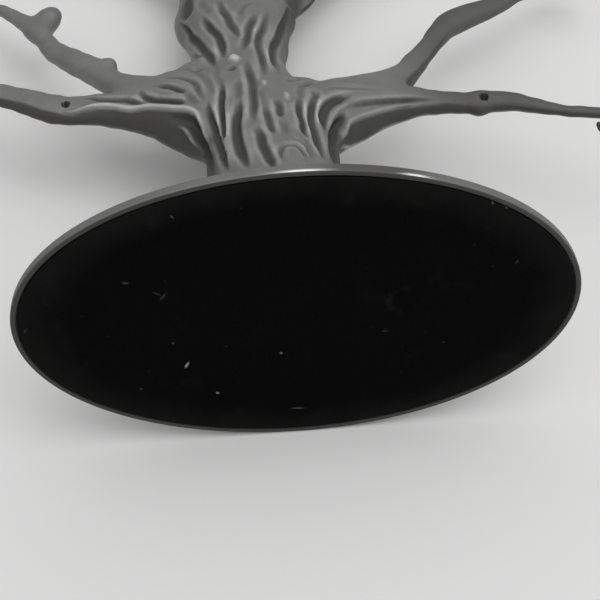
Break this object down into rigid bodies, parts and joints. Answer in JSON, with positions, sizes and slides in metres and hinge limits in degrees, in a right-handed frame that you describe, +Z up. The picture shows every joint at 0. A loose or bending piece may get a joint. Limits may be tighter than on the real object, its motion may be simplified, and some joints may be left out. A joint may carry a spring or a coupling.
{
  "type": "photo tree stand",
  "caption": "Cast metal tree on an oval felt-bottomed base, with drilled limbs and curled branch tips that hold small hanging picture frames.",
  "frame": {"origin": "middle of the felt's underside, where the stand meets the table", "axes": "+X along the base's long axis, -Y the front of the tree, +Z up the trunk"},
  "size_m": [0.227, 0.089, 0.2452],
  "materials": {
    "cast_metal": "antiqued satin",
    "felt": "flocked felt",
    "screw_steel": "zinc plated"
  },
  "bodies": {
    "root": {"base_plate": "cast_metal", "felt_pad": "felt", "base_screws": "screw_steel", "lower_trunk": "cast_metal", "upper_trunk": "cast_metal", "left_limb": "cast_metal", "left_fork": "cast_metal", "right_limb": "cast_metal", "right_fork": "cast_metal", "left_crown": "cast_metal", "left_leader": "cast_metal", "right_crown": "cast_metal", "right_leader": "cast_metal"}
  },
  "joints": []
}
